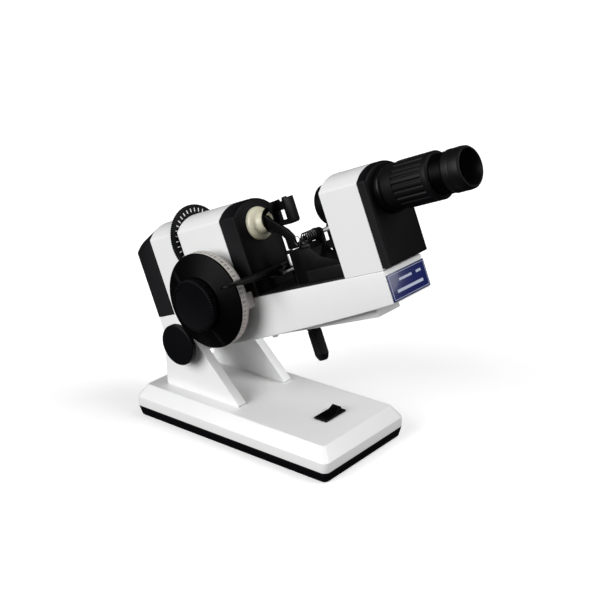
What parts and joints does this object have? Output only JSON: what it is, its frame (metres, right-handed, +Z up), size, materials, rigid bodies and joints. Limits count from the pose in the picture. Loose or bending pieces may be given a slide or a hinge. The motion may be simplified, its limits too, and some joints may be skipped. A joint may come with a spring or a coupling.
{
  "type": "lensmeter",
  "caption": "Tilting bench lensmeter with an open lens gap between a lamp housing with a nose cone and a telescope, a side power drum, a lens table and a focusing eyepiece.",
  "frame": {"origin": "centre of the bounding box in plan, at the level the rubber feet stand on", "axes": "+X along the instrument towards the eyepiece, +Y across it along the tilt axle and the lens table, away from the power drum, +Z up"},
  "size_m": [0.3872, 0.158, 0.3224],
  "materials": {
    "white_paint": "gloss",
    "black_plastic": "satin",
    "black_paint": "satin",
    "rubber": "matte",
    "steel": "satin",
    "brass": "satin",
    "cream_plastic": "satin",
    "scale_white": "satin",
    "blue_plate": "gloss",
    "glass": "polished"
  },
  "bodies": {
    "base": {"base_plate": "black_plastic", "base_cover": "white_paint", "rubber_foot_1": "rubber", "rubber_foot_2": "rubber", "rubber_foot_3": "rubber", "rubber_foot_4": "rubber", "power_inlet": "black_plastic", "switch_bezel": "black_plastic", "left_cheek": "white_paint", "right_cheek": "white_paint", "tilt_axle": "steel", "axle_cap": "black_plastic"},
    "rocker": {"switch_rocker": "black_plastic"},
    "lock": {"lock_knob": "black_plastic"},
    "head": {"arm_frame": "white_paint", "bottom_cover": "white_paint", "bottom_screw": "steel", "arm_top_plate": "black_paint", "rear_housing": "white_paint", "rear_cover": "black_plastic", "nose_cover": "black_plastic", "telescope_housing": "white_paint", "eyepiece_cover": "black_plastic", "nameplate": "blue_plate", "index_block": "scale_white", "lamp_socket": "black_plastic", "lamp_bulb": "glass", "bearing_plate": "brass", "guide_rod_left": "steel", "guide_rod_right": "steel", "collimator_cell": "black_paint", "collimator_lens": "glass", "nose_cone": "cream_plastic", "mech_bracket": "black_paint", "pivot_rod": "steel", "presser_spring": "steel", "objective_barrel": "black_paint", "objective_lens": "glass", "eyepiece_flange": "black_paint"},
    "drum": {"drum_shaft": "steel", "drum_pinion": "brass", "drum_disc": "black_plastic", "scale_ring": "scale_white", "drum_knob": "black_plastic"},
    "carriage": {"target_carriage": "black_paint", "target_rack": "brass"},
    "target": {"target_disc": "glass"},
    "axis_ring": {"axis_wheel": "black_plastic"},
    "table": {"table_plate": "black_paint", "table_post": "steel", "table_handle": "black_plastic"},
    "presser": {"presser_arm": "black_paint", "presser_ring": "black_paint"},
    "marker": {"marker_head": "black_paint"},
    "focus": {"focus_ring": "rubber"},
    "ocular": {"eyepiece_tube": "black_paint", "eye_lens": "glass", "eyecup": "rubber"}
  },
  "joints": [
    {"name": "head_tilt", "type": "hinge", "parent": "base", "child": "head", "pos_m": [-0.1129, 0, 0.0909], "axis": [0, -1, 0], "range_deg": [-16, 39]},
    {"name": "lock_turn", "type": "hinge", "parent": "base", "child": "lock", "pos_m": [-0.1129, 0, 0.0909], "axis": [0, -1, 0], "range_deg": [-180, 0]},
    {"name": "power_switch", "type": "hinge", "parent": "base", "child": "rocker", "pos_m": [0.035, 0.0008, 0.034], "axis": [-1, 0, 0], "range_deg": [0, 16]},
    {"name": "power_drum", "type": "hinge", "parent": "head", "child": "drum", "pos_m": [-0.07111, 0, 0.14725], "axis": [0, 1, 0], "range_deg": [-135, 135]},
    {"name": "target_slide", "type": "slide", "parent": "head", "child": "carriage", "axis": [0.9328, 0, 0.3605], "range_m": [-0.0119, 0.0119]},
    {"name": "axis_turn", "type": "hinge", "parent": "head", "child": "axis_ring", "pos_m": [-0.14614, 0, 0.1769], "axis": [0.9328, 0, 0.3605], "continuous": true},
    {"name": "target_turn", "type": "hinge", "parent": "carriage", "child": "target", "pos_m": [-0.14614, 0, 0.1769], "axis": [0.9328, 0, 0.3605], "continuous": true},
    {"name": "table_lift", "type": "slide", "parent": "head", "child": "table", "axis": [-0.3605, 0, 0.9328], "range_m": [-0.011, 0.015]},
    {"name": "presser_lift", "type": "hinge", "parent": "head", "child": "presser", "pos_m": [0.02258, 0, 0.21777], "axis": [0, 1, 0], "range_deg": [0, 45], "stiffness_Nm_per_rad": 0.06, "springref_deg": -28.65},
    {"name": "marker_push", "type": "slide", "parent": "presser", "child": "marker", "axis": [-0.9328, 0, -0.3605], "range_m": [0, 0.006], "stiffness_N_per_m": 80, "springref_m": -0.003},
    {"name": "focus_turn", "type": "hinge", "parent": "head", "child": "focus", "pos_m": [-0.14614, 0, 0.1769], "axis": [0.9328, 0, 0.3605], "range_deg": [-120, 120]},
    {"name": "ocular_slide", "type": "slide", "parent": "head", "child": "ocular", "axis": [0.9328, 0, 0.3605], "range_m": [-0.0029, 0.0029]}
  ],
  "couplings": [
    {"joint": "target_slide", "follows": "power_drum", "m_per_rad": 0.005},
    {"joint": "target_turn", "follows": "axis_turn", "ratio": 1},
    {"joint": "focus_turn", "follows": "ocular_slide", "rad_per_m": 722}
  ]
}
